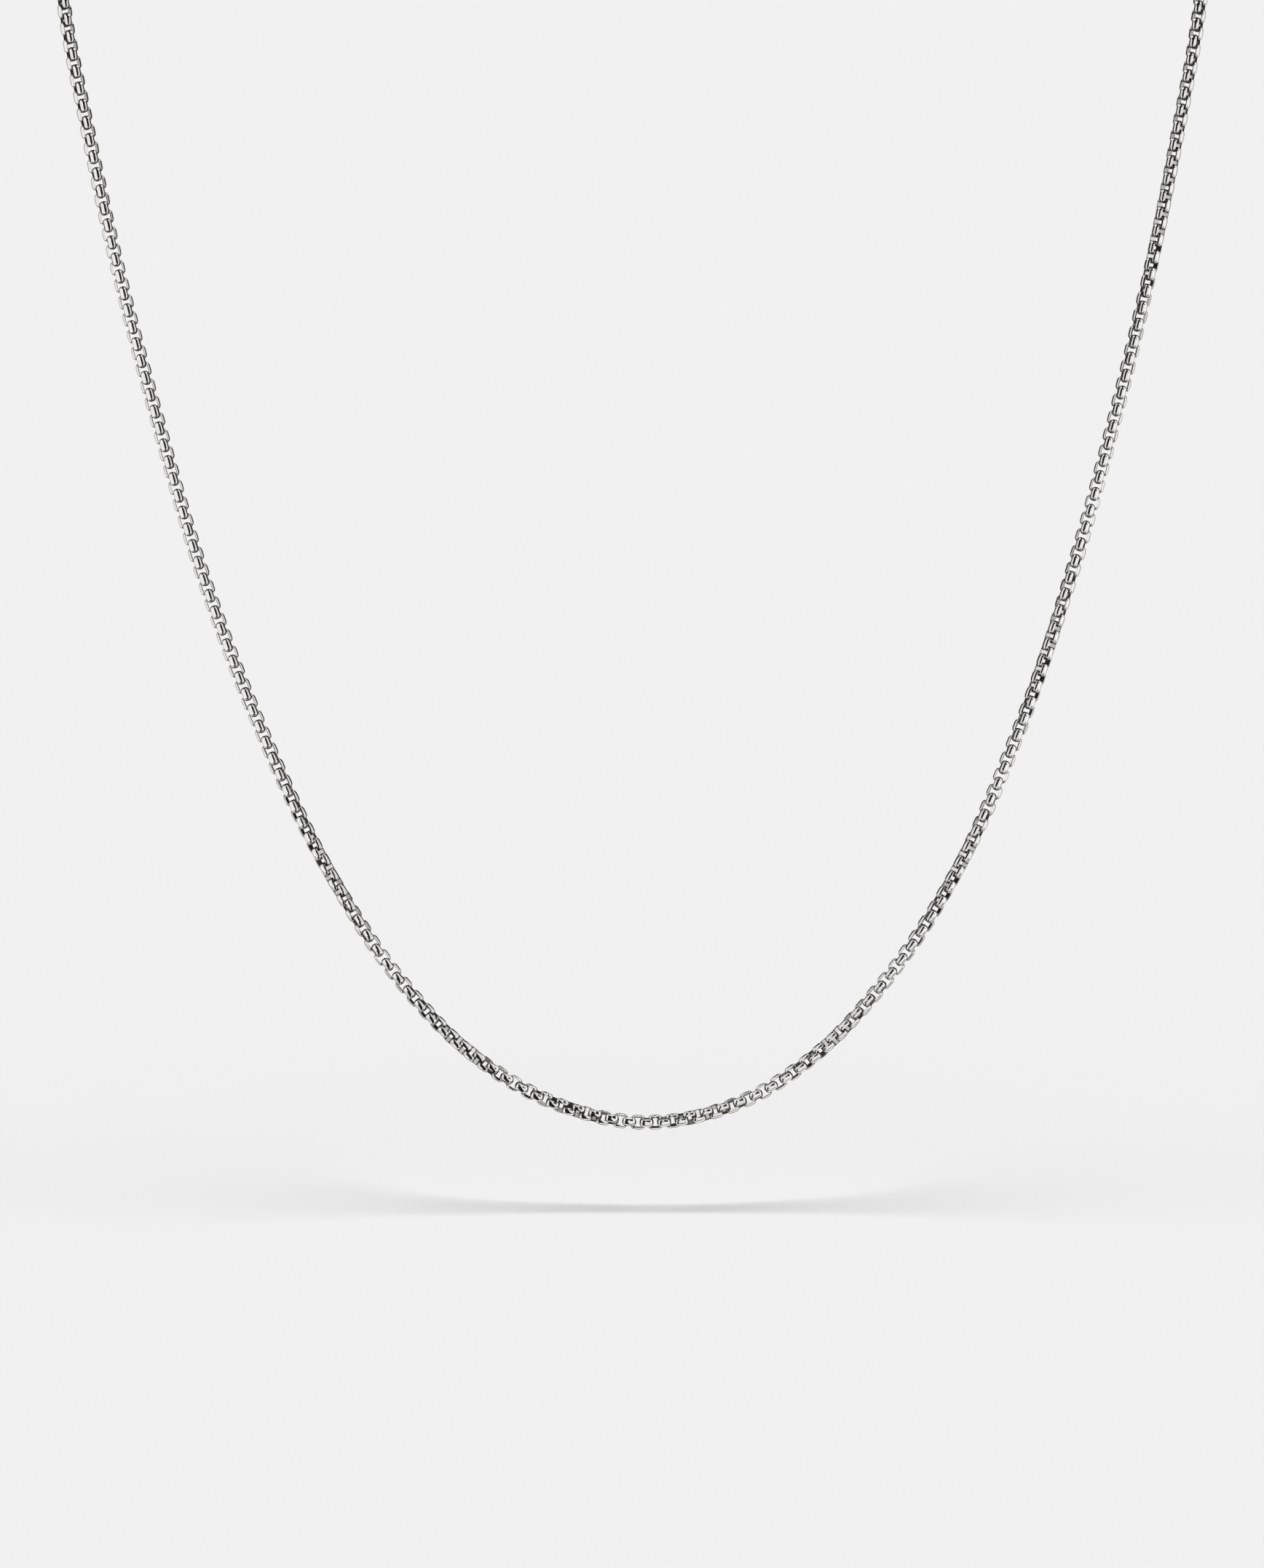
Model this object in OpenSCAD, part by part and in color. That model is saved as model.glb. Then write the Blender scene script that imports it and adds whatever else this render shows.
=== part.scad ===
/* [Chain] */
// Width of the box chain, flat to flat
chain_w = 1.7; // [1.3:0.05:2.2]

/* [End rings] */
// Outside diameter of the soldered ring at each end of the chain
ring_od = 4.2; // [4:0.1:5]
// Thickness of the end rings' wire
ring_wire = 0.7; // [0.5:0.05:0.8]

/* [Clasp] */
// Length of the clasp, from its tail to its nose
clasp_len = 11; // [10:0.5:13]
// Width of the claw
clasp_w = 5; // [4.6:0.1:6]
// Thickness of the clasp, front to back
clasp_t = 1.8; // [1.4:0.1:1.8]
// Width of the metal round the claw's opening
claw_wall = 1.2; // [0.9:0.1:1.4]
// Width of the claw's opening at its narrow end
claw_throat = 1; // [0.8:0.1:1.2]
// Width of the metal round the eye in the tail
eye_wall = 0.75; // [0.6:0.05:1]
// Diameter of the thumb knob on the claw's upper edge
knob_d = 1.6; // [1.2:0.1:2]

/* [Clearances] */
// Gap between an end ring and the bar of the clasp that it hangs on
ring_gap = 0.2; // [0.15:0.05:0.25]
// Gap between an end ring and the end of the chain
chain_gap = 0.15; // [0.1:0.05:0.3]

/* [Hidden] */

$fn = 48;
// The chain's sweep: sides of its section, and the most that two rings of it lie apart
tube_sides = 8;
tube_step = 6.6;
// Leaned like the whole loop's axis, so that it never runs along the chain
side_hint = [0, 1, -0.4];

// The route, in mm, from the wearer's nape over +X, down to the lowest link and back up over -X.
// X, Y and Z are measured from the middle of the clasp. The first and the last point lie at the end rings.
// The shoulder points are hidden from the front, and the same on both sides.
route_middle = [
    [31, -4, -1], [46, -10.5, -3], [58, -20, -7], [64.5, -30, -14.5], [66, -36.5, -25],
    [65, -40, -36], [62.5, -42.5, -50], [59.5, -44.5, -65], [55, -47.5, -83.5], [50.5, -50, -99.5],
    [44, -53, -118.5], [37.5, -55.5, -133], [29, -57.5, -146], [21.5, -58.5, -154], [13, -59.5, -159.5],
    [1.5, -60, -162],
    [-8.5, -59.5, -160], [-18, -59, -154.5], [-26.5, -57.5, -146], [-34.5, -55.5, -134], [-42.5, -53, -117.5],
    [-49, -50.5, -100.5], [-54.5, -47.5, -82], [-59, -44.5, -65], [-62.5, -42, -49], [-65, -40, -36],
    [-66, -36.5, -25], [-64.5, -30, -14.5], [-58, -20, -7], [-46, -10.5, -3], [-31, -4, -1]
];

// Each end ring hangs round a bar of the clasp, as deep as the bar's thickness lets it
ring_r = (ring_od - ring_wire) / 2;
ring_hole_r = ring_od / 2 - ring_wire;
ring_hang = sqrt(pow(ring_hole_r - ring_gap, 2) - pow(clasp_t / 2, 2));
nose_bar_x = clasp_len / 2 - claw_wall;
tail_bar_x = -clasp_len / 2 + eye_wall;
ring_right_x = nose_bar_x + ring_hang;
ring_left_x = tail_bar_x - ring_hang;

// The eye leaves the ring's wire a gap on its inner side
eye_d = ring_hole_r - ring_hang + ring_wire + ring_gap;
tail_r = eye_d / 2 + eye_wall;
tail_x = -clasp_len / 2 + tail_r;
claw_r = clasp_w / 2;
claw_x = clasp_len / 2 - claw_r;
throat_x = (tail_x + eye_d / 2 + claw_x) / 2;

chain_right_x = ring_right_x + ring_od / 2 + chain_gap;
chain_left_x = ring_left_x - ring_od / 2 - chain_gap;
route = concat([[chain_right_x, 0, 0]], route_middle, [[chain_left_x, 0, 0]]);
last = len(route) - 1;

function unit(v) = v / norm(v);

// Lengths of the route's chords
chords = [for (i = [0:last - 1]) norm(route[i + 1] - route[i])];

// The route's direction at point i: the two chords' directions, the shorter one counting more.
// Each end sets off square to its ring.
function heading(i) =
    i == 0 ? [1, 0, 0] :
    i == last ? [1, 0, 0] :
    unit((route[i] - route[i - 1]) * chords[i] / chords[i - 1]
        + (route[i + 1] - route[i]) * chords[i - 1] / chords[i]);

// The point a share u along chord i, on the cubic curve through both its ends, and the direction there
function along(i, u) =
    (2 * pow(u, 3) - 3 * pow(u, 2) + 1) * route[i]
    + (pow(u, 3) - 2 * pow(u, 2) + u) * chords[i] * heading(i)
    + (3 * pow(u, 2) - 2 * pow(u, 3)) * route[i + 1]
    + (pow(u, 3) - pow(u, 2)) * chords[i] * heading(i + 1);
function direction(i, u) =
    unit((6 * pow(u, 2) - 6 * u) * (route[i] - route[i + 1])
        + (3 * pow(u, 2) - 4 * u + 1) * chords[i] * heading(i)
        + (3 * pow(u, 2) - 2 * u) * chords[i] * heading(i + 1));

// One ring of the sweep, round a centre and square to a direction
function section(centre, way, r) =
    let (side = unit(cross(way, side_hint)), up = cross(side, way))
    [for (k = [0:tube_sides - 1])
        let (a = (k + 0.5) * 360 / tube_sides)
        centre + r * (cos(a) * side + sin(a) * up)];

// A closed polyhedron through the sections along the whole route
module tube(r) {
    places = concat(
        [for (i = [0:last - 1])
            let (steps = round(chords[i] / tube_step))
            for (k = [0:steps - 1]) [i, k / steps]],
        [[last - 1, 1]]);
    rings = len(places);
    points = [for (p = places) each section(along(p[0], p[1]), direction(p[0], p[1]), r)];
    skin = [for (j = [0:rings - 2], k = [0:tube_sides - 1])
        let (n = (k + 1) % tube_sides)
        [j * tube_sides + k, (j + 1) * tube_sides + k, (j + 1) * tube_sides + n, j * tube_sides + n]];
    first_cap = [for (k = [0:tube_sides - 1]) k];
    last_cap = [for (k = [tube_sides - 1:-1:0]) (rings - 1) * tube_sides + k];
    polyhedron(points, concat(skin, [first_cap, last_cap]));
}

// A plate with two round ends on the X axis, and straight sides that touch both
module taper(x_a, r_a, x_b, r_b, thick) {
    lean = asin((r_b - r_a) / (x_b - x_a));
    translate([x_a, 0, 0]) cylinder(thick, r = r_a, center = true);
    translate([x_b, 0, 0]) cylinder(thick, r = r_b, center = true);
    linear_extrude(thick, center = true)
    polygon([
        [x_a - r_a * sin(lean), r_a * cos(lean)],
        [x_b - r_b * sin(lean), r_b * cos(lean)],
        [x_b - r_b * sin(lean), -r_b * cos(lean)],
        [x_a - r_a * sin(lean), -r_a * cos(lean)]
    ]);
}

module end_ring(x) {
    color("silver")
    translate([x, 0, 0])
    rotate_extrude()
    translate([ring_r, 0]) circle(d = ring_wire);
}

module chain() {
    color("gainsboro")
    tube(chain_w / 2);
}

module end_ring_right() {
    end_ring(ring_right_x);
}

module end_ring_left() {
    end_ring(ring_left_x);
}

// A lobster-claw clasp, closed, its hook, lever and knob in one piece
module clasp() {
    knob_share = (throat_x - tail_x) / (claw_x - tail_x);
    knob_z = tail_r + (claw_r - tail_r) * knob_share;
    color("silver")
    rotate([90, 0, 0])
    difference() {
        union() {
            taper(tail_x, tail_r, claw_x, claw_r, clasp_t);
            translate([throat_x, knob_z, 0]) cylinder(clasp_t, d = knob_d, center = true);
        }
        taper(throat_x, claw_throat / 2, claw_x, claw_r - claw_wall, 2 * clasp_t);
        translate([tail_x, 0, 0]) cylinder(2 * clasp_t, d = eye_d, center = true);
    }
}

chain();
end_ring_right();
end_ring_left();
clasp();
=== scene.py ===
import math

import bmesh
import bpy
import numpy as np
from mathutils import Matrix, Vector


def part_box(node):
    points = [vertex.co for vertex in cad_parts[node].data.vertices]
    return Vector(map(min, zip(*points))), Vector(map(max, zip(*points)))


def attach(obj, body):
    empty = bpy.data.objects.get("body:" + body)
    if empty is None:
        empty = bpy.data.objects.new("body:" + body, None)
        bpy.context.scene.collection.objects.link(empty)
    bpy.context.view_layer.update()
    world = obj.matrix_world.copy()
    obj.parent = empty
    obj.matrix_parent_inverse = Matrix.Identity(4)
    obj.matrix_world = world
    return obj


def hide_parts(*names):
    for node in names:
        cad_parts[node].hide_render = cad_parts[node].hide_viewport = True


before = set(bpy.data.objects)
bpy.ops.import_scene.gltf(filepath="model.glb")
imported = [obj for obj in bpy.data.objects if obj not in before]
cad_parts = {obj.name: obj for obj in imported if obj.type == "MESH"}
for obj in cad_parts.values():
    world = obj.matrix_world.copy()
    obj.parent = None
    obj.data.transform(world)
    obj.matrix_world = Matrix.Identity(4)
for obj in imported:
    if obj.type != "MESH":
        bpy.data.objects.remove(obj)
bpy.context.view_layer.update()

# The chain. A round box chain: each link is a strip of half-round silver wire, flat inside and
# domed outside, bent to a rounded square and soldered shut. Each link holds the two next to it
# and is turned a quarter turn from them. The last link at each end hangs in an end ring.
MM = 0.001
LINK_ACROSS = 1.7 * MM
LINK_ALONG = 1.64 * MM
WIRE_WIDTH = 0.88 * MM
WIRE_THICK = 0.31 * MM
BEND_INSIDE = 0.17 * MM
LINK_PLAY = 0.02 * MM
RING_SLACK = 0.005 * MM
CORNER_POINTS = 4
SECTION_POINTS = 6

# A link's turn differs by chance, by so many degrees as a rule and at most by so many times that
LINK_LEAN = 1.2
LEAN_LIMIT = 2
CHANCE_SEED = 7

# How far the dome's normals lean, in degrees, at the ends of a link's sides and at the dome's edges
SIDE_BOW = 8
EDGE_LEAN = 15

# The route's direction at a link is taken over this share of the pitch before and after it
WAY_REACH = 0.4

# The chain's route from the nape over +X, down to the lowest link and back up over -X, in mm.
# The end rings add its first and last point.
ROUTE = [
    (31, -4, -1), (46, -10.5, -3), (58, -20, -7), (64.5, -30, -14.5), (66, -36.5, -25),
    (65, -40, -36), (62.5, -42.5, -50), (59.5, -44.5, -65), (55, -47.5, -83.5), (50.5, -50, -99.5),
    (44, -53, -118.5), (37.5, -55.5, -133), (29, -57.5, -146), (21.5, -58.5, -154), (13, -59.5, -159.5),
    (1.5, -60, -162),
    (-8.5, -59.5, -160), (-18, -59, -154.5), (-26.5, -57.5, -146), (-34.5, -55.5, -134), (-42.5, -53, -117.5),
    (-49, -50.5, -100.5), (-54.5, -47.5, -82), (-59, -44.5, -65), (-62.5, -42, -49), (-65, -40, -36),
    (-66, -36.5, -25), (-64.5, -30, -14.5), (-58, -20, -7), (-46, -10.5, -3), (-31, -4, -1),
]

# How the chain turns about its own length: the distance from its first link, in mm, and degrees
# of turn there. At a whole quarter turn it lies square to someone in front of it.
TWIST = [
    (0, 0), (60, 0), (94, 28), (107, 33), (121, 45), (129, 75), (135, 83), (143, 90), (149, 90), (155, 97),
    (159, 103), (169, 135), (177, 160), (183, 180), (185, 180), (190, 195), (195, 225), (202.8, 250),
    (207.8, 270), (213.8, 283), (221, 315), (228, 353), (230, 360), (239, 405), (244, 443), (246, 450),
    (253, 495), (258, 530), (261, 540), (267, 585), (273, 608), (279, 630), (284, 640), (293, 675),
    (300, 700), (309, 714), (312, 720), (362, 720), (379, 734), (399, 750), (440, 810), (493.5, 810),
]


def unit(vectors):
    """Each row of an array, divided by its own length."""
    return vectors / np.linalg.norm(vectors, axis=-1, keepdims=True)


def smooth_route(corners, steps=60):
    """A cubic curve through the corners. At each corner it runs along the two chords' directions,
    the shorter one counting more; at its two ends it runs along +X. Returns its points."""
    corners = np.asarray(corners, float)
    chords = np.diff(corners, axis=0)
    long = np.linalg.norm(chords, axis=1, keepdims=True)
    ways = np.empty_like(corners)
    ways[1:-1] = unit(chords[:-1] * long[1:] / long[:-1] + chords[1:] * long[:-1] / long[1:])
    ways[0] = ways[-1] = (1, 0, 0)
    u = np.linspace(0, 1, steps, endpoint=False)[None, :, None]
    start, end = corners[:-1, None], corners[1:, None]
    start_way, end_way = (long * ways[:-1])[:, None], (long * ways[1:])[:, None]
    curve = (
        (2 * u**3 - 3 * u**2 + 1) * start + (u**3 - 2 * u**2 + u) * start_way
        + (3 * u**2 - 2 * u**3) * end + (u**3 - u**2) * end_way
    )
    return np.vstack([curve.reshape(-1, 3), corners[-1:]])


def link_places(route, pitch):
    """Evenly spaced places along the route, as near the pitch as a whole number of links comes.
    Returns each one's distance from the start, its centre, and the route's direction there."""
    steps = np.linalg.norm(np.diff(route, axis=0), axis=1)
    far = np.concatenate([[0], np.cumsum(steps)])
    count = int(round(far[-1] / pitch)) + 1
    at = np.linspace(0, far[-1], count)
    reach = WAY_REACH * pitch
    centres, ahead, behind = (
        np.stack([np.interp(place, far, route[:, k]) for k in range(3)], axis=1)
        for place in (at, at + reach, at - reach)
    )
    return at, centres, unit(ahead - behind)


def corner_bearings(margin):
    """The bearing at each point round a link, in radians. Each of its four corners has a few points,
    spread evenly over a quarter turn less the margin, in degrees, at both its ends."""
    spread = np.linspace(margin, 90 - margin, CORNER_POINTS)
    return np.radians(np.arange(4)[:, None] * 90 + spread).reshape(-1, 1)


def link_shape():
    """One link about its own centre: its points, the dome's normals and the flat face's normals in
    (hole axis, across, along), and each point's end-wall shade value. The section is half an ellipse over
    the wire's width, whose first and last points are the flat face's edges. It is carried round a
    rectangle with round corners, with the dome outwards. The dome's normals lean a little at each
    side's ends, as a bent strip's sides are slightly bowed, and never lie along the hole axis, as
    the wire's edges are worn. The end-wall shade value is 1 at the end walls, which face the
    neighbours, and 0 at the sides: the size of the sine of the bearing. The material paints shade
    with it where the links meet."""
    turn = corner_bearings(0)
    bowed = corner_bearings(SIDE_BOW)
    arch = np.linspace(0, math.pi, SECTION_POINTS)[None, :]
    bend = BEND_INSIDE + WIRE_THICK
    corner_across = np.repeat((LINK_ACROSS / 2 - bend) * np.array([1, -1, -1, 1]), CORNER_POINTS)[:, None]
    corner_along = np.repeat((LINK_ALONG / 2 - bend) * np.array([1, 1, -1, -1]), CORNER_POINTS)[:, None]
    outward = BEND_INSIDE + WIRE_THICK * np.sin(arch)
    points = np.stack(np.broadcast_arrays(
        WIRE_WIDTH / 2 * np.cos(arch),
        corner_across + np.cos(turn) * outward,
        corner_along + np.sin(turn) * outward,
    ), axis=-1)
    edge = math.radians(EDGE_LEAN)
    dome = arch.clip(edge, math.pi - edge)
    lift = np.sin(dome) / WIRE_THICK
    normals = unit(np.stack(np.broadcast_arrays(
        np.cos(dome) * 2 / WIRE_WIDTH, np.cos(bowed) * lift, np.sin(bowed) * lift), axis=-1))
    inward = np.stack(np.broadcast_arrays(np.zeros_like(arch), -np.cos(turn), -np.sin(turn)), axis=-1)
    # Painted shade: 1 on the end walls, where the links meet
    end_wall_shade = np.broadcast_to(np.abs(np.sin(turn)), points.shape[:2])
    return points, normals, inward, end_wall_shade


def mesh_object(name, points, faces):
    """A smooth mesh object from an array of points and an array of four-sided faces."""
    mesh = bpy.data.meshes.new(name)
    mesh.from_pydata(points.tolist(), [], faces.tolist())
    mesh.shade_smooth()
    piece = bpy.data.objects.new(name, mesh)
    bpy.context.scene.collection.objects.link(piece)
    return piece


def ring_faces(rounds, sides):
    """The four-sided faces of a surface that closes both ways, whose points are numbered by rounds
    and then by sides. Each face joins a point to the next side, the next round and both."""
    number = np.arange(rounds * sides).reshape(rounds, sides)
    next_round, next_side = np.roll(number, -1, 0), np.roll(number, -1, 1)
    corner = np.roll(next_round, -1, 1)
    return np.stack([number, next_side, corner, next_round], axis=-1).reshape(-1, 4)


def point_values(piece, name, values):
    """Keeps one number for each point of the piece, under a name that its material reads."""
    kept = piece.data.attributes.new(name, "FLOAT", "POINT")
    kept.data.foreach_set("value", values.astype(np.float32))


def box_links(name, route, twist):
    """Every link of the chain in one mesh. A link's hole axis is the direction towards someone in
    front, square to the chain, turned by the twist there and by a quarter turn for each link."""
    shape, dome_normals, flat_normals, end_wall_shade = link_shape()
    pitch = LINK_ALONG - 2 * WIRE_THICK - LINK_PLAY
    at, centres, ways = link_places(route, pitch)
    front = np.array([0, -1.0, 0])
    facing = unit(front - (ways @ front)[:, None] * ways)
    aside = np.cross(ways, facing)
    table = np.asarray(twist, float)
    chance = np.random.default_rng(CHANCE_SEED)
    lean = LINK_LEAN * chance.standard_normal(len(at)).clip(-LEAN_LIMIT, LEAN_LIMIT)
    turns = np.interp(at / MM, table[:, 0], table[:, 1]) + 90 * np.arange(len(at)) + lean
    turns = np.radians(turns)[:, None]
    hole = facing * np.cos(turns) + aside * np.sin(turns)
    axes = np.stack([hole, np.cross(ways, hole), ways], axis=1)
    points = centres[:, None, None] + np.einsum("rsk,nkj->nrsj", shape, axes)
    count, rounds, sides = points.shape[:3]
    one = ring_faces(rounds, sides)
    faces = (np.arange(count)[:, None, None] * rounds * sides + one).reshape(-1, 4)
    piece = mesh_object(name, points.reshape(-1, 3), faces)

    flat = (one[:, :1] % sides == sides - 1)[..., None]
    corner_normals = np.where(flat, flat_normals.reshape(-1, 3)[one], dome_normals.reshape(-1, 3)[one])
    piece.data.normals_split_custom_set(np.einsum("fck,nkj->nfcj", corner_normals, axes).reshape(-1, 3))
    point_values(piece, "inner_face", np.tile(np.isin(np.arange(sides), (0, sides - 1)), count * rounds))
    # The end-wall value, by which the material paints shade between the links
    point_values(piece, "end_wall_shade", np.tile(end_wall_shade.reshape(-1), count))
    point_values(piece, "link_shade", np.repeat(chance.random(count), rounds * sides))
    return piece


def hang_on(node, side):
    """Where the last link's centre lies, when the inside of its end wall bears on the wire of that
    end ring. side is 1 for the ring at +X and -1 for the one at -X."""
    low, high = (np.array(corner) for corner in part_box(node))
    ring_wire = high[2] - low[2]
    wire_x = high[0] - ring_wire / 2 if side > 0 else low[0] + ring_wire / 2
    bearing = LINK_ALONG / 2 - WIRE_THICK - ring_wire / 2 - RING_SLACK
    return (wire_x + side * bearing, 0, 0)


class Shade:
    """A socket of one node tree. Arithmetic on it adds Math nodes, and node() adds any other."""

    def __init__(self, tree, socket=None):
        self.tree = tree
        self.socket = socket

    def node(self, kind, settings, sockets, output=0):
        """Adds a node. Its settings come first, then each named socket takes its value or link."""
        made = self.tree.nodes.new(kind)
        for name, value in settings.items():
            setattr(made, name, value)
        for name, value in sockets.items():
            if isinstance(value, Shade):
                self.tree.links.new(value.socket, made.inputs[name])
            else:
                made.inputs[name].default_value = value
        return Shade(self.tree, made.outputs[output] if made.outputs else None)

    def math(self, operation, *values):
        """One Math node on the values, in their order."""
        return self.node("ShaderNodeMath", {"operation": operation}, dict(enumerate(values)))

    def ramp(self, low, high):
        """0 below low, 1 above high, and a smooth step between them."""
        settings = {"interpolation_type": "SMOOTHSTEP"}
        sockets = {"Value": self, "From Min": low, "From Max": high}
        return self.node("ShaderNodeMapRange", settings, sockets)

    def __add__(self, other):
        return self.math("ADD", self, other)

    def __sub__(self, other):
        return self.math("SUBTRACT", self, other)

    def __rsub__(self, other):
        return self.math("SUBTRACT", other, self)

    def __mul__(self, other):
        return self.math("MULTIPLY", self, other)

    __radd__ = __add__
    __rmul__ = __mul__


# The polished metal, a tarnish tone that on the inner faces also stands for painted shade, and the near-black
# of the painted shade where the links meet
POLISHED = (0.93, 0.925, 0.905, 1)
TARNISH_AND_SHADE_COLOUR = (0.42, 0.38, 0.33, 1)
END_SHADE_COLOUR = (0.1, 0.095, 0.09, 1)

# Shares of the tarnish: on the inner faces, where it is a trace of tarnish with painted shade, and the most
# that one link has of its own
INNER_TARNISH_AND_SHADE = 0.4
LINK_TARNISH = 0.06

# End-wall values at which the painted shade between links starts and is full
END_SHADE_RAMP = (0.4, 0.95)

# The tarnish and the painted shade are each a base share and a share that goes with soft clouds
CLOUDS = {"Scale": 900.0, "Detail": 2.0}
PATCH_BASE = 0.6
TARNISH_AND_SHADE_PATCHES = 0.8
END_SHADE_PATCHES = 0.4

# What scratches, a link's own share and the inner faces add to the roughness, and the scratches' relief
SCRATCHES = {"Detail": 3.0, "Roughness": 0.6}
SCRATCH_BLUR = 0.03
LINK_BLUR = 0.02
INNER_BLUR = 0.08
SCRATCH_STRENGTH = 0.12
SCRATCH_DEPTH = 0.01 * MM


def blend(share, colour, other):
    """A colour that goes over to another by a share. A Mix node's colours have numbered sockets,
    because it has sockets of the same names for plain values."""
    return share.node(
        "ShaderNodeMix", {"data_type": "RGBA"}, {"Factor": share, 6: colour, 7: other}, output=2)


def polished_silver(name, roughness, scratch_scale):
    """Silver from the polishing drum. Fine scratches blur and tilt the gloss, and links differ a
    little. The inner faces, where links rub, have a trace of tarnish with painted shade, and the end
    walls, where the links meet, have painted shade that is nearly black. A piece without these point values
    is polished all over."""
    metal = bpy.data.materials.new(name)
    metal.use_nodes = True
    metal.node_tree.nodes.clear()
    start = Shade(metal.node_tree)
    place = start.node("ShaderNodeTexCoord", {}, {}, output="Object")
    inner, shade, end_wall_shade = (
        start.node("ShaderNodeAttribute", {"attribute_name": kept}, {}, output="Fac")
        for kept in ("inner_face", "link_shade", "end_wall_shade")
    )
    scratches = start.node("ShaderNodeTexNoise", {}, {"Vector": place, "Scale": scratch_scale, **SCRATCHES})
    clouds = start.node("ShaderNodeTexNoise", {}, {"Vector": place, **CLOUDS})
    # Tarnish, with painted shade on the inner faces, and a little tarnish that differs from link to link
    tarnish_and_inner_shade = (inner * INNER_TARNISH_AND_SHADE + shade * LINK_TARNISH) * (PATCH_BASE + TARNISH_AND_SHADE_PATCHES * clouds)
    # Painted shade, nearly black, on the end walls where the links meet
    painted_end_shade = end_wall_shade.ramp(*END_SHADE_RAMP) * (PATCH_BASE + END_SHADE_PATCHES * clouds)
    bump = start.node(
        "ShaderNodeBump", {}, {"Height": scratches, "Strength": SCRATCH_STRENGTH, "Distance": SCRATCH_DEPTH})
    surface = start.node("ShaderNodeBsdfPrincipled", {}, {
        "Base Color": blend(painted_end_shade, blend(tarnish_and_inner_shade, POLISHED, TARNISH_AND_SHADE_COLOUR), END_SHADE_COLOUR),
        "Metallic": 1.0,
        "Roughness": roughness + SCRATCH_BLUR * scratches + LINK_BLUR * shade + INNER_BLUR * inner,
        "Normal": bump,
    })
    start.node("ShaderNodeOutputMaterial", {}, {"Surface": surface})
    return metal


route = smooth_route([
    hang_on("end_ring_right", 1),
    *(np.array(ROUTE) * MM),
    hang_on("end_ring_left", -1),
])
links = box_links("box_links", route, TWIST)
links.data.materials.append(polished_silver("drum_polished_silver", roughness=0.03, scratch_scale=9000.0))
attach(links, "root")
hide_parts("chain")

# The end rings. Each is a jump ring of round silver wire, soldered shut through the chain's last
# link, which joins the chain to the clasp. They keep their solids' meshes.
ring_silver = polished_silver("soldered_ring_silver", roughness=0.07, scratch_scale=5000.0)
for name in ("end_ring_right", "end_ring_left"):
    for material_slot in bpy.data.objects[name].material_slots:
        material_slot.material = ring_silver

# The clasp. A lobster claw cast in silver, shown closed, its hook, lever and thumb knob in one
# piece. Tumbling has rounded its edges. The end rings hang in its nose and in its tail.
MERGE_WITHIN = 0.001 * MM
GRAIN_DEPTH = 8
TUMBLE_STEP = 0.5
TUMBLE_STEPS = 80
cast = bpy.data.objects["clasp"].data.copy()
cast.name = "tumbled_clasp"
cast.materials.clear()
shell = bmesh.new()
shell.from_mesh(cast)
bmesh.ops.remove_doubles(shell, verts=shell.verts, dist=MERGE_WITHIN)
shell.to_mesh(cast)
shell.free()
clasp = bpy.data.objects.new("tumbled_clasp", cast)
bpy.context.scene.collection.objects.link(clasp)
recast = clasp.modifiers.new("even_grain", "REMESH")
recast.mode = "SMOOTH"
recast.octree_depth = GRAIN_DEPTH
recast.use_smooth_shade = True
tumble = clasp.modifiers.new("tumbling", "SMOOTH")
tumble.factor = TUMBLE_STEP
tumble.iterations = TUMBLE_STEPS
cast.materials.append(polished_silver("cast_silver", roughness=0.1, scratch_scale=4000.0))
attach(clasp, "root")
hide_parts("clasp")

# The camera. It stands in front of the chain's lower half and a little above it, and looks
# slightly down. Its lens is worked out from the height of the part that the frame takes in.
TARGET = (0, -0.054, -0.1237)
DISTANCE = 1.2
ELEVATION = math.radians(9)
FRAME_PIXELS = 2154
PIXEL = 0.0834 * MM
SENSOR = 36
NEAREST = 0.01
camera = bpy.data.cameras.new("camera")
camera.sensor_width = SENSOR
camera.lens = SENSOR * DISTANCE / (FRAME_PIXELS * PIXEL)
camera.clip_start = NEAREST
viewer = bpy.data.objects.new("camera", camera)
viewer.location = (
    TARGET[0],
    TARGET[1] - DISTANCE * math.cos(ELEVATION),
    TARGET[2] + DISTANCE * math.sin(ELEVATION),
)
viewer.rotation_euler = (math.pi / 2 - ELEVATION, 0, 0)
bpy.context.scene.collection.objects.link(viewer)
bpy.context.scene.camera = viewer

# The floor and its lamp. A pale painted floor runs on past the view, lit by one soft lamp overhead
# and a little by the sky, so that it comes out as pale as the sky behind it. It carries the soft
# shadow of the lowest links and doesn't show in the metal.
PALE = 0.871
FLOOR_PAINT = 0.8
FLOOR_SIZE = 8
FLOOR_Z = -0.1721
SKY_ON_FLOOR = 0.1
LAMP_SPREAD = math.radians(30)

bpy.context.scene.view_settings.view_transform = "Standard"
bpy.ops.mesh.primitive_plane_add(size=FLOOR_SIZE, location=(0, 0, FLOOR_Z))
floor = bpy.context.object
floor.name = "floor"
paint = bpy.data.materials.new("floor_paint")
paint.use_nodes = True
shader = paint.node_tree.nodes["Principled BSDF"]
shader.inputs["Base Color"].default_value = (FLOOR_PAINT, FLOOR_PAINT, FLOOR_PAINT, 1)
shader.inputs["Roughness"].default_value = 1.0
shader.inputs["Specular IOR Level"].default_value = 0.0
floor.data.materials.append(paint)
floor.visible_glossy = False

lamp = bpy.data.lights.new("overhead_lamp", "SUN")
lamp.angle = LAMP_SPREAD
lamp.energy = (PALE / FLOOR_PAINT - SKY_ON_FLOOR) * math.pi
overhead = bpy.data.objects.new("overhead_lamp", lamp)
overhead.visible_glossy = False
bpy.context.scene.collection.objects.link(overhead)

# The sky. The camera sees an even pale grey. The metal sees a white room that is dimmer behind
# and below the chain, with a dark doorway in front to the left and dark bands above and below.
FRONT_LIGHT = 0.86
SIDE_GAIN = 0.2

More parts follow.
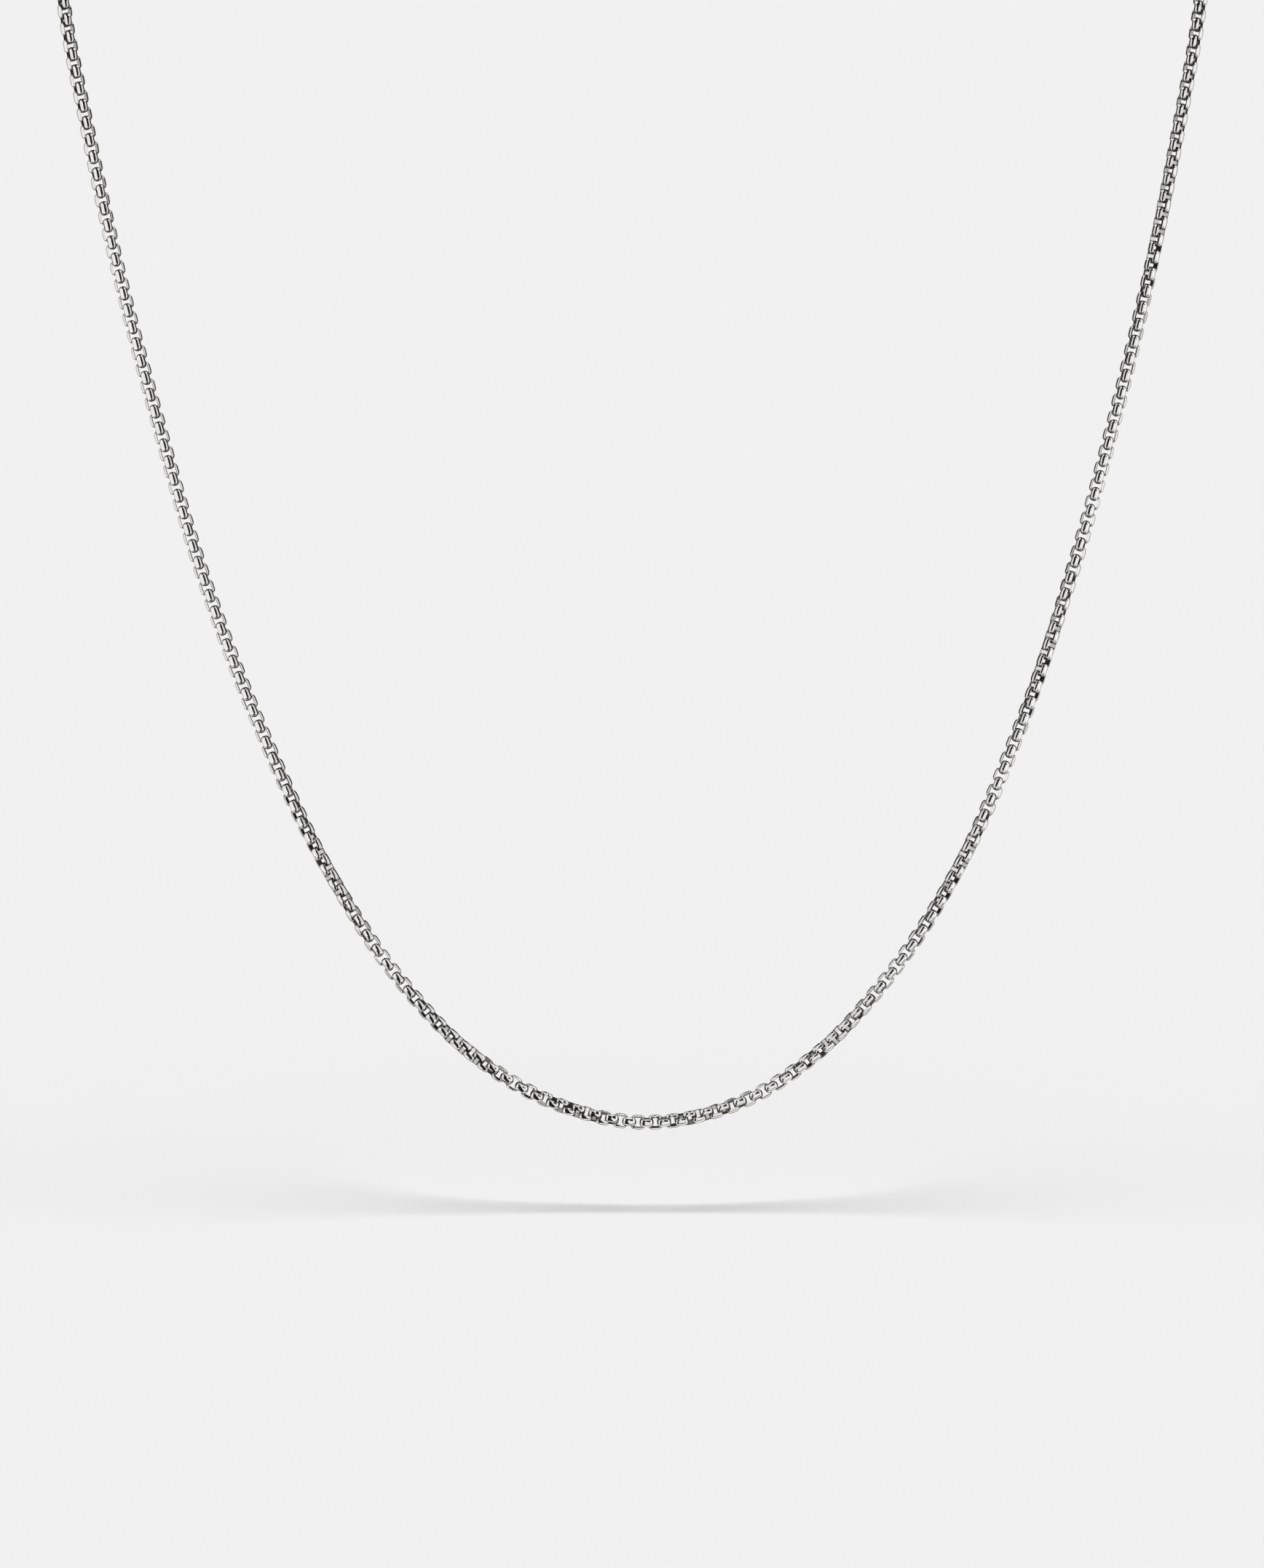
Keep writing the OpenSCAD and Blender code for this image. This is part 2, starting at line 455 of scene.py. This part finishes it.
# Where each part of the room starts and ends, in degrees of bearing, of height, or off the front
SIDE_BEARING = (25, 75)
STEEP_CLIMB = (22, 30)
UNDER_HEIGHT = (-40, -22)
BACK_HEIGHT = (-20, -15)
DOORWAY_BEARING = ((-75, -68), (-5, -1))
TOP_BAND = ((35, 40), (56, 60))
LOW_BAND = ((50, 54), (70, 74))

# The same for parts that go by the direction's depth, which is -1 in front and 1 behind
LEVEL_BEHIND = (-0.15, 0.35)
STEEP_BEHIND = (0.28, 0.36)
BACK_DEPTH = (0.88, 0.95)

# How much of the light is missing in each part
BEHIND_LOSS = 0.5
UNDER_LOSS = 0.75
BACK_LOSS = 0.95
DOORWAY_LOSS = 0.97
BAND_LOSS = 0.98


def past(angle, limits):
    """0 where an angle is under both limits, in degrees, 1 where it is over both, smooth between."""
    return angle.ramp(math.radians(limits[0]), math.radians(limits[1]))


def between(angle, rise, fall):
    """1 where an angle is past the rise and not past the fall, both given as limits in degrees."""
    return past(angle, rise) * (1 - past(angle, fall))


world = bpy.data.worlds.new("studio")
world.use_nodes = True
bpy.context.scene.world = world
world.node_tree.nodes.clear()
start = Shade(world.node_tree)
way = start.node("ShaderNodeTexCoord", {}, {}, output="Generated")
along_x, along_y, along_z = (
    start.node("ShaderNodeSeparateXYZ", {}, {"Vector": way}, output=axis) for axis in ("X", "Y", "Z"))
bearing = start.math("ARCTAN2", along_x, 0 - along_y)
height = start.math("ARCSINE", along_z)
off_front = start.math("ARCCOSINE", 0 - along_y)
climb = start.math("ARCTAN2", along_z, start.math("ABSOLUTE", along_x))
upward = past(climb, STEEP_CLIMB)
downward = past(0 - climb, STEEP_CLIMB)
level = 1 - upward - downward
dark_parts = (
    (along_y.ramp(*LEVEL_BEHIND) * level + along_y.ramp(*STEEP_BEHIND) * (1 - level), BEHIND_LOSS),
    ((1 - past(height, UNDER_HEIGHT)) * along_y.ramp(*STEEP_BEHIND), UNDER_LOSS),
    (along_y.ramp(*BACK_DEPTH) * past(height, BACK_HEIGHT), BACK_LOSS),
    (level * between(bearing, *DOORWAY_BEARING), DOORWAY_LOSS),
    (upward * between(off_front, *TOP_BAND), BAND_LOSS),
    (downward * between(off_front, *LOW_BAND), BAND_LOSS),
)
room = FRONT_LIGHT + SIDE_GAIN * past(start.math("ABSOLUTE", bearing), SIDE_BEARING)
for part, loss in dark_parts:
    room = room * (1 - loss * part)
seen = start.node("ShaderNodeLightPath", {}, {}, output="Is Camera Ray")
diffuse = start.node("ShaderNodeLightPath", {}, {}, output="Is Diffuse Ray")
light = seen * PALE + diffuse * SKY_ON_FLOOR + (1 - seen - diffuse) * room
background = start.node("ShaderNodeBackground", {}, {"Color": (1, 1, 1, 1), "Strength": light})
start.node("ShaderNodeOutputWorld", {}, {"Surface": background})

# The studio's sheets. Black, grey and white cards stand in front of the chain, beside it, inside
# the loop and behind the nape. They glow, the black ones barely, as soft lights and flags that show only in
# the metal, where they make its black lines and bright reflections.
BLACK = 0.015
WHITE = 0.9

# Two black ribbons in front, one for each branch: rows of Z, outer X and inner X, in mm. The left
# one has a tail below, and a white card from its outer edge outwards.
RIBBON_Y = -110
RIBBON = [
    (80, 88, -50), (0, 71, 0), (-25, 68, 0), (-50, 64.5, 0), (-82, 57, 0), (-118, 46, 2), (-133, 39.5, 5),
    (-140, 37, 6),
]
LEFT_TAIL = [(-150, 60, 8), (-240, 60, 8)]
CARD_REACH = 400

# A black sheet over each branch and a grey one under it: X on both sides, then each one's Y and Z
BESIDE_X = (42, 100)
OVER_Y, OVER_Z = (-210, -8), 20
BELOW_Y, BELOW_Z = (-80, 60), -170
BELOW_GREY = 0.5

# The flat sheets that stand alone: two opposite edges, in mm, and the glow
SINGLE_SHEETS = {
    "inner_flag": ([(0, 30, -140), (0, 30, -10)], [(0, -46, -140), (0, -46, -10)], BLACK),
    "grey_flag": ([(0, -46, -140), (0, -46, 0)], [(0, -102, -140), (0, -102, 0)], 0.75),
    "nape_card": ([(-30, 40, -30), (-30, 40, 12)], [(30, 40, -30), (30, 40, 12)], 0.8),
    "low_flag": ([(-70, -230, -240), (-30, -230, -240)], [(-70, -60, -240), (-30, -60, -240)], BLACK),
}


def sheet(name, one_edge, other_edge, glow=BLACK):
    """A sheet that shows only in the metal, ruled between two edges given in mm."""
    points = np.stack([one_edge, other_edge], axis=1).astype(float) * MM
    number = np.arange(points.shape[0] * 2).reshape(-1, 2)
    faces = np.stack([number[:-1, 0], number[:-1, 1], number[1:, 1], number[1:, 0]], axis=-1)
    piece = mesh_object(name, points.reshape(-1, 3), faces)
    coat = bpy.data.materials.new(name)
    coat.use_nodes = True
    coat.node_tree.nodes.clear()
    first = Shade(coat.node_tree)
    emission = first.node("ShaderNodeEmission", {}, {"Color": (1, 1, 1, 1), "Strength": glow})
    first.node("ShaderNodeOutputMaterial", {}, {"Surface": emission})
    piece.data.materials.append(coat)
    piece.visible_camera = piece.visible_diffuse = piece.visible_shadow = False


def level_edges(x_ends, y_ends, z):
    """The front and the back edge of a level sheet."""
    return ([(x, y, z) for x in x_ends] for y in y_ends)


for side, name in ((1, "right"), (-1, "left")):
    rows = np.array(RIBBON if side > 0 else RIBBON + LEFT_TAIL)
    ribbon_y = np.full(len(rows), RIBBON_Y)
    outer = np.stack([side * rows[:, 1], ribbon_y, rows[:, 0]], axis=1)
    inner = np.stack([side * rows[:, 2], ribbon_y, rows[:, 0]], axis=1)
    sheet(name + "_flag", outer, inner)
    beside = [side * x for x in BESIDE_X]
    sheet(name + "_upper_flag", *level_edges(beside, OVER_Y, OVER_Z))
    sheet(name + "_under_flag", *level_edges(beside, BELOW_Y, BELOW_Z), glow=BELOW_GREY)
    if side < 0:
        sheet("left_card", outer, outer * (0, 1, 1) - (CARD_REACH, 0, 0), WHITE)
for name, (one_edge, other_edge, glow) in SINGLE_SHEETS.items():
    sheet(name, one_edge, other_edge, glow)
